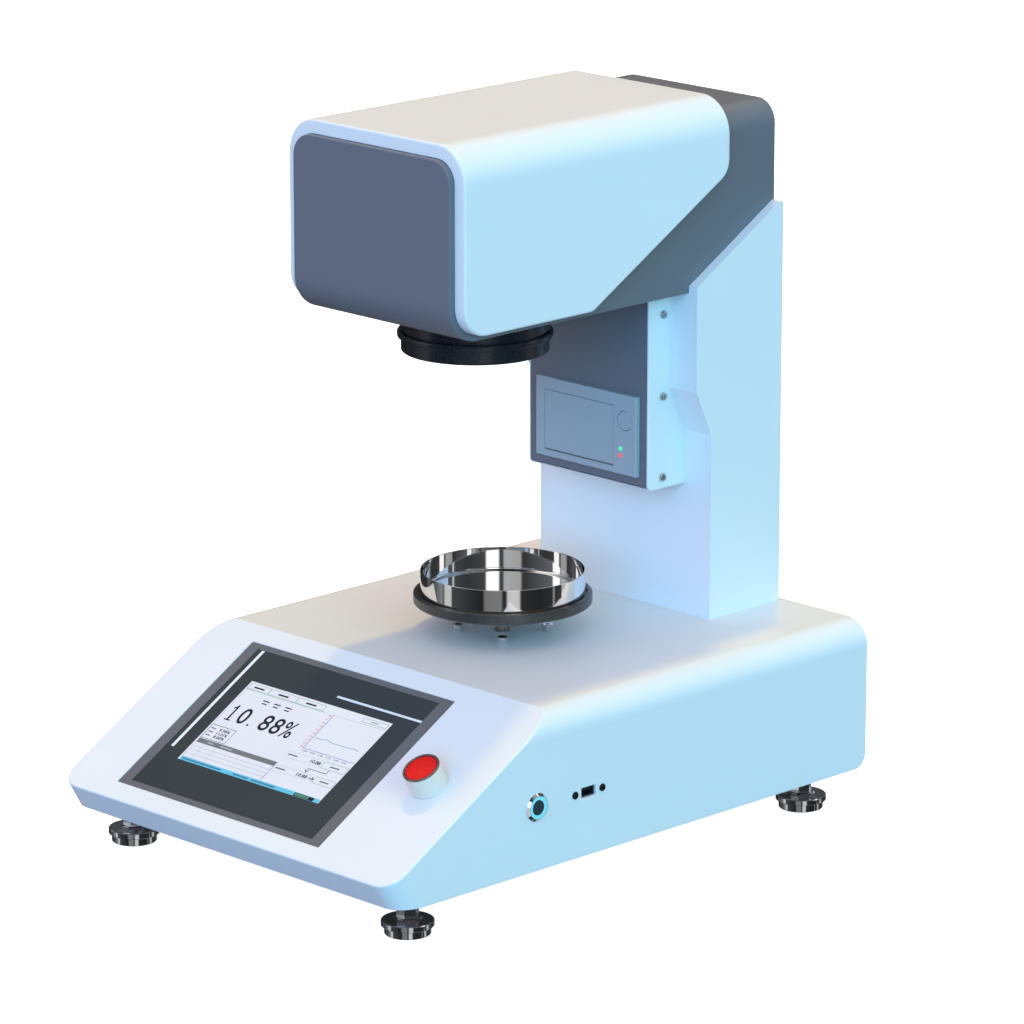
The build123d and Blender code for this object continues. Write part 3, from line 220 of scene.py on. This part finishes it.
for n_, o in N.items():
    key = USE.get(n_)
    if key is None:
        key = "chrome" if n_.startswith("foot_") else "casing"
    o.data.materials.clear()
    o.data.materials.append(M[key])

# ------------------------------------------------------------------ graphics on the lit screen and its overlay
LIT_X0, LIT_S0, LIT_W, LIT_H = -103.1, 53.3, 158.4, 90.2
SCREEN_OFF, OVERLAY_OFF = -0.6, -0.45


def ux(px):
    # layout units of the screen: 1430 across, 816 down
    return LIT_X0 + (px - 10) / 1430.0 * LIT_W


def us(py):
    return LIT_S0 + (py - 12) / 816.0 * LIT_H


def prism(bm, quad, off, t):
    lo = [bm.verts.new(SP(x, s, off)) for x, s in quad]
    hi = [bm.verts.new(SP(x, s, off + t)) for x, s in quad]
    bm.faces.new(lo)
    bm.faces.new(hi[::-1])
    n = len(quad)
    for i in range(n):
        bm.faces.new((lo[i], hi[i], hi[(i + 1) % n], lo[(i + 1) % n]))


def bar(bm, x0, y0, x1, y1, off=SCREEN_OFF + 0.005, t=0.03):
    a, b, c, d = ux(x0), ux(x1), us(y0), us(y1)
    prism(bm, [(a, c), (b, c), (b, d), (a, d)], off, t)


def line(bm, x0, y0, x1, y1, w=3.0, off=SCREEN_OFF + 0.01, t=0.03):
    p, q = Vector((ux(x0), us(y0))), Vector((ux(x1), us(y1)))
    d = (q - p).normalized()
    h = w / 1430.0 * LIT_W / 2
    n = Vector((-d.y, d.x)) * h
    p, q = p - d * h, q + d * h
    prism(bm, [tuple(p + n), tuple(q + n), tuple(q - n), tuple(p - n)], off, t)


def frame_lines(bm, x0, y0, x1, y1, w=3.0):
    line(bm, x0, y0, x1, y0, w)
    line(bm, x1, y0, x1, y1, w)
    line(bm, x1, y1, x0, y1, w)
    line(bm, x0, y1, x0, y0, w)


def figures(bm, text, x0, y0, x1, y1, off=SCREEN_OFF + 0.01, t=0.03, heavy=0.022):
    # plain figures fitted into a rectangle of the layout
    cu = bpy.data.curves.new("figure", "FONT")
    cu.body = text
    cu.extrude = 0.5
    cu.offset = heavy
    cu.resolution_u = 4
    ob = bpy.data.objects.new("figure", cu)
    scene.collection.objects.link(ob)
    dg = bpy.context.evaluated_depsgraph_get()
    me_ = bpy.data.meshes.new_from_object(ob.evaluated_get(dg))
    bpy.data.objects.remove(ob)
    bpy.data.curves.remove(cu)
    xs = [v.co.x for v in me_.vertices]
    ys = [v.co.y for v in me_.vertices]
    w, h = max(xs) - min(xs), max(ys) - min(ys)
    vs = []
    for v in me_.vertices:
        x = ux(x0 + (v.co.x - min(xs)) / w * (x1 - x0))
        q = us(y1 - (v.co.y - min(ys)) / h * (y1 - y0))
        vs.append(bm.verts.new(SP(x, q, off + (v.co.z + 0.5) * t)))
    for f in me_.polygons:
        try:
            bm.faces.new([vs[i] for i in f.vertices])
        except ValueError:
            pass
    bpy.data.meshes.remove(me_)


def piece(name, bm, material):
    bmesh.ops.recalc_face_normals(bm, faces=bm.faces)
    me_ = bpy.data.meshes.new(name)
    bm.to_mesh(me_)
    bm.free()
    ob = bpy.data.objects.new(name, me_)
    scene.collection.objects.link(ob)
    ob.data.materials.append(material)
    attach(ob, "instrument")
    return ob


UI = {
    "black": finish_mat("graphic_black", (0.02, 0.02, 0.03), rough=0.4, spec=0.1, var=0.05, bump=0.0),
    "grey": lit_mat("graphic_grey", (0.17, 0.175, 0.20), 0.95),
    "pale": lit_mat("graphic_pale_grey", (0.42, 0.45, 0.52), 0.95),
    "green": lit_mat("graphic_green", (0.10, 0.36, 0.16), 0.95),
    "blue": lit_mat("graphic_blue", (0.10, 0.12, 0.55), 0.95),
    "red": lit_mat("graphic_red", (0.85, 0.16, 0.20), 0.95),
    "cyan": lit_mat("graphic_cyan", (0.11, 0.56, 0.88), 0.95),
    "teal": lit_mat("graphic_teal", (0.03, 0.22, 0.34), 0.95),
    "white": finish_mat("graphic_white", (0.80, 0.82, 0.84), rough=0.4, spec=0.2, var=0.01, bump=0.0),
}
B = {k: bmesh.new() for k in UI}
# tabs
for x0, x1 in ((30, 232), (240, 516), (525, 798)):
    frame_lines(B["green"], x0, 30, x1, 82, 3)
    mid = (x0 + x1) / 2
    bar(B["black"], mid - 52, 50, mid + 52, 64)
line(B["green"], 28, 88, 825, 88, 3)
frame_lines(B["green"], 1178, 33, 1418, 70, 3)
bar(B["pale"], 1262, 46, 1336, 57)
# heading bars and the large figures
for x0 in (252, 366, 480):
    bar(B["black"], x0, 140, x0 + 66, 150)
    bar(B["black"], x0 + 8, 166, x0 + 58, 176)
for txt, x0, x1, y0, y1 in (("0", 177, 268, 243, 395), (".", 298, 320, 374, 392), ("8", 399, 492, 243, 395),
                            ("8", 512, 603, 243, 395), ("%", 620, 725, 243, 397)):
    figures(B["black"], txt, x0, y0, x1, y1, heavy=0.010)
for seg in ((104, 250, 104, 388, 17), (104, 252, 80, 276, 13), (80, 389, 128, 389, 11)):
    line(B["black"], *seg)
# box with three values
frame_lines(B["black"], 30, 460, 272, 595, 4)
for y, txt in ((480, "9.98%"), (514, "11.01%"), (548, "8.00%")):
    figures(B["black"], txt, 128, y, 236, y + 26)
    bar(B["grey"], 44, y + 8, 92, y + 18)
# list
bar(B["grey"], 28, 603, 825, 645)
bar(B["pale"], 128, 618, 190, 630, off=SCREEN_OFF + 0.02)
bar(B["pale"], 262, 618, 380, 630, off=SCREEN_OFF + 0.02)
for y in (683, 718, 755):
    line(B["pale"], 28, y, 825, y, 3)
for x in (115, 245):
    line(B["pale"], x, 645, x, 790, 3)
line(B["blue"], 825, 603, 825, 790, 4)
line(B["blue"], 28, 30, 28, 790, 2)
# status bar
bar(B["cyan"], 28, 792, 1435, 828)
bar(B["teal"], 45, 803, 440, 817, off=SCREEN_OFF + 0.02)
bar(B["teal"], 565, 803, 720, 817, off=SCREEN_OFF + 0.02)
bar(B["teal"], 750, 803, 990, 817, off=SCREEN_OFF + 0.02)
bar(B["black"], 1185, 795, 1380, 826, off=SCREEN_OFF + 0.02)
for i in range(8):
    bar(B["green"], 1195 + i * 17, 800, 1207 + i * 17, 821, off=SCREEN_OFF + 0.03)
# chart
line(B["blue"], 920, 85, 920, 425, 5)
line(B["blue"], 920, 425, 1430, 425, 4)
line(B["pale"], 920, 87, 1430, 87, 3)
for i in range(10):
    figures(B["red"], str(18 - i), 882, 95 + i * 35, 908, 111 + i * 35)
for i, x in enumerate((930, 1008, 1086, 1163, 1241, 1318)):
    figures(B["grey"], "%02d:%02d" % (10 + i // 2, 30 * (i % 2)), x, 438, x + 50, 452)
curve = [(940, 315), (985, 313), (1015, 315), (1040, 303), (1070, 308), (1100, 316), (1150, 318), (1200, 316), (1250, 317), (1300, 313), (1340, 312), (1370, 316)]
for a, b2 in zip(curve, curve[1:]):
    line(B["teal"], *a, *b2, 4)
# two rows with values, boxes and arrows
frame_lines(B["pale"], 832, 480, 1198, 540, 2)
bar(B["grey"], 848, 504, 940, 516)
figures(B["black"], "10.88", 1075, 495, 1175, 525)
frame_lines(B["green"], 1198, 480, 1430, 540, 3)
bar(B["grey"], 1270, 504, 1360, 516)
for seg in ((1288, 540, 1288, 577), (1288, 577, 1115, 577), (1115, 577, 1115, 605), (1115, 612, 1097, 592), (1115, 612, 1133, 592)):
    line(B["black"], *seg, 5)
frame_lines(B["pale"], 832, 620, 1190, 678, 2)
bar(B["grey"], 848, 643, 945, 655)
figures(B["black"], "10.88", 1062, 634, 1165, 664)
for seg in ((1182, 650, 1228, 650), (1230, 650, 1210, 636), (1230, 650, 1210, 664)):
    line(B["black"], *seg, 6)
frame_lines(B["green"], 1238, 620, 1430, 678, 3)
bar(B["grey"], 1290, 643, 1380, 655)
# stripes printed on the overlay
for x0, x1, s0, s1 in ((-119.8, -116.7, 22.9, 133.9), (-14.6, 78.4, 43.1, 45.2)):
    prism(B["white"], [(x0, s0), (x1, s0), (x1, s1), (x0, s1)], OVERLAY_OFF + 0.003, 0.03)
for k in UI:
    piece("graphic_" + k, B[k], UI[k])

# ------------------------------------------------------------------ camera
cam_data = bpy.data.cameras.new("camera")
cam_data.lens = 197.54
cam_data.sensor_width = 36.0
cam_data.clip_end = 100.0
cam = bpy.data.objects.new("camera", cam_data)
cam.location = P(3001.57, -2962.34, 1375.44)
cam.rotation_euler = (math.radians(90 - 15.0), 0.0, math.radians(45.28))
scene.collection.objects.link(cam)
scene.camera = cam

# ------------------------------------------------------------------ light
scene.view_settings.view_transform = "Standard"
# name: direction that the light comes from, colour strength, angular size in degrees
AMBIENT = (0.8326, 0.7114, 0.7276)
LIGHTS = {
    "light_right": ((0.95, -0.10, 0.18), (0.0004, 0.3306, 0.3332), 50),
    "light_top": ((-0.15, 0.18, 0.97), (0.2989, 0.2133, 0.0153), 3),
    "light_front": ((-0.20, -0.95, 0.15), (0.0556, 0.0004, 0.0004), 50),
    "light_corner": ((0.55, -0.80, 0.25), (0.0570, 0.4014, 0.8124), 40),
}
scene.view_settings.look = "None"
world = bpy.data.worlds.new("studio")
scene.world = world
world.use_nodes = True
wt = world.node_tree
wt.nodes.clear()
w_out = wt.nodes.new("ShaderNodeOutputWorld")
amb = wt.nodes.new("ShaderNodeBackground")
amb.inputs["Color"].default_value = (*AMBIENT, 1)
amb.inputs["Strength"].default_value = 1.0
cam_bg = wt.nodes.new("ShaderNodeBackground")
cam_bg.inputs["Color"].default_value = (1, 1, 1, 1)
glo_bg = wt.nodes.new("ShaderNodeBackground")
lp = wt.nodes.new("ShaderNodeLightPath")
mx1 = wt.nodes.new("ShaderNodeMixShader")
mx2 = wt.nodes.new("ShaderNodeMixShader")
wt.links.new(lp.outputs["Is Glossy Ray"], mx1.inputs[0])
wt.links.new(amb.outputs[0], mx1.inputs[1])
wt.links.new(glo_bg.outputs[0], mx1.inputs[2])
wt.links.new(lp.outputs["Is Camera Ray"], mx2.inputs[0])
wt.links.new(mx1.outputs[0], mx2.inputs[1])
wt.links.new(cam_bg.outputs[0], mx2.inputs[2])
wt.links.new(mx2.outputs[0], w_out.inputs[0])
# what mirror surfaces see: pale panels with dark gaps between them round the studio
wtc = wt.nodes.new("ShaderNodeTexCoord")
wsep = wt.nodes.new("ShaderNodeSeparateXYZ")
wt.links.new(wtc.outputs["Generated"], wsep.inputs[0])
at = wt.nodes.new("ShaderNodeMath")
at.operation = "ARCTAN2"
wt.links.new(wsep.outputs["Y"], at.inputs[0])
wt.links.new(wsep.outputs["X"], at.inputs[1])
ang = wt.nodes.new("ShaderNodeMapRange")
ang.inputs["From Min"].default_value = -math.pi
ang.inputs["From Max"].default_value = math.pi
wt.links.new(at.outputs[0], ang.inputs["Value"])
ramp = wt.nodes.new("ShaderNodeValToRGB")
wt.links.new(ang.outputs[0], ramp.inputs[0])
el = ramp.color_ramp.elements
stops = [(0.00, 0.045), (0.03, 0.18), (0.055, 0.045), (0.115, 0.40), (0.124, 0.12), (0.132, 0.95), (0.160, 0.95), (0.168, 0.10),
         (0.290, 0.03), (0.300, 0.04), (0.306, 0.30), (0.370, 0.34), (0.376, 0.045), (0.388, 0.045), (0.396, 1.0), (0.438, 1.0), (0.446, 0.045),
         (0.520, 0.03), (0.580, 0.045), (0.585, 0.55), (0.593, 0.045), (0.622, 0.08), (0.632, 0.75), (0.655, 0.80), (0.665, 0.08), (0.770, 0.045), (0.800, 0.35), (0.830, 0.35), (0.85, 0.045)]
el[0].position = stops[0][0]
el[0].color = (stops[0][1],) * 3 + (1,)
el[1].position = 1.0
el[1].color = (stops[0][1],) * 3 + (1,)
for pos, v in stops[1:]:
    e = el.new(pos)
    e.color = (v * 0.96, v, min(1.0, v * 1.06), 1) if 0.3 < v < 0.7 else (v * 0.92, v, v * 1.12, 1) if v < 0.3 else (v, v, v, 1)
up = wt.nodes.new("ShaderNodeMapRange")
up.interpolation_type = "SMOOTHSTEP"
up.inputs["From Min"].default_value = 0.60
up.inputs["From Max"].default_value = 0.95
wt.links.new(wsep.outputs["Z"], up.inputs["Value"])
gm = wt.nodes.new("ShaderNodeMix")
gm.data_type = "RGBA"
gm.inputs[7].default_value = (0.70, 0.68, 0.66, 1)
wt.links.new(up.outputs[0], gm.inputs[0])
wt.links.new(ramp.outputs[0], gm.inputs[6])
low = wt.nodes.new("ShaderNodeMapRange")
low.interpolation_type = "SMOOTHSTEP"
low.inputs["From Min"].default_value = -0.12
low.inputs["From Max"].default_value = 0.10
low.inputs["To Min"].default_value = 0.65
low.inputs["To Max"].default_value = 1.6
wt.links.new(wsep.outputs["Z"], low.inputs["Value"])
wt.links.new(gm.outputs[2], glo_bg.inputs["Color"])
wt.links.new(low.outputs[0], glo_bg.inputs["Strength"])


def sun(name, direction, colour, strength, angle):
    # direction: where the light comes from
    d = bpy.data.lights.new(name, "SUN")
    d.color = colour
    d.energy = strength
    d.angle = math.radians(angle)
    o = bpy.data.objects.new(name, d)
    o.rotation_euler = Vector(direction).to_track_quat("Z", "Y").to_euler()
    o.visible_glossy = False
    scene.collection.objects.link(o)
    return o


for name_, (direction_, rgb_, angle_) in LIGHTS.items():
    peak = max(rgb_)
    sun(name_, direction_, tuple(c_ / peak for c_ in rgb_), peak * math.pi, angle_)

# ------------------------------------------------------------------ floor
bm = bmesh.new()
bmesh.ops.create_circle(bm, cap_ends=True, radius=30.0, segments=96)
me = bpy.data.meshes.new("floor")
bm.to_mesh(me)
bm.free()
floor = bpy.data.objects.new("floor", me)
floor.location = (0, 0, -0.0005)
scene.collection.objects.link(floor)
fm = bpy.data.materials.new("floor_pale")
fm.use_nodes = True
ft = fm.node_tree
ft.nodes.clear()
fo = ft.nodes.new("ShaderNodeOutputMaterial")
fd = ft.nodes.new("ShaderNodeBsdfDiffuse")
fd.inputs["Color"].default_value = (0.80, 0.80, 0.80, 1)
fe = ft.nodes.new("ShaderNodeEmission")
fe.inputs["Color"].default_value = (1, 1, 1, 1)
fe.inputs["Strength"].default_value = 0.92
fa = ft.nodes.new("ShaderNodeAddShader")
fdim = ft.nodes.new("ShaderNodeBsdfDiffuse")
fdim.inputs["Color"].default_value = (0.20, 0.24, 0.30, 1)
fl = ft.nodes.new("ShaderNodeLightPath")
fmx = ft.nodes.new("ShaderNodeMixShader")
ft.links.new(fd.outputs[0], fa.inputs[0])
ft.links.new(fe.outputs[0], fa.inputs[1])
ft.links.new(fl.outputs["Is Camera Ray"], fmx.inputs[0])
ft.links.new(fdim.outputs[0], fmx.inputs[1])
ft.links.new(fa.outputs[0], fmx.inputs[2])
fclear = ft.nodes.new("ShaderNodeBsdfTransparent")
fmy = ft.nodes.new("ShaderNodeMixShader")
ft.links.new(fl.outputs["Is Glossy Ray"], fmy.inputs[0])
ft.links.new(fmx.outputs[0], fmy.inputs[1])
ft.links.new(fclear.outputs[0], fmy.inputs[2])
ft.links.new(fmy.outputs[0], fo.inputs[0])
floor.data.materials.append(fm)

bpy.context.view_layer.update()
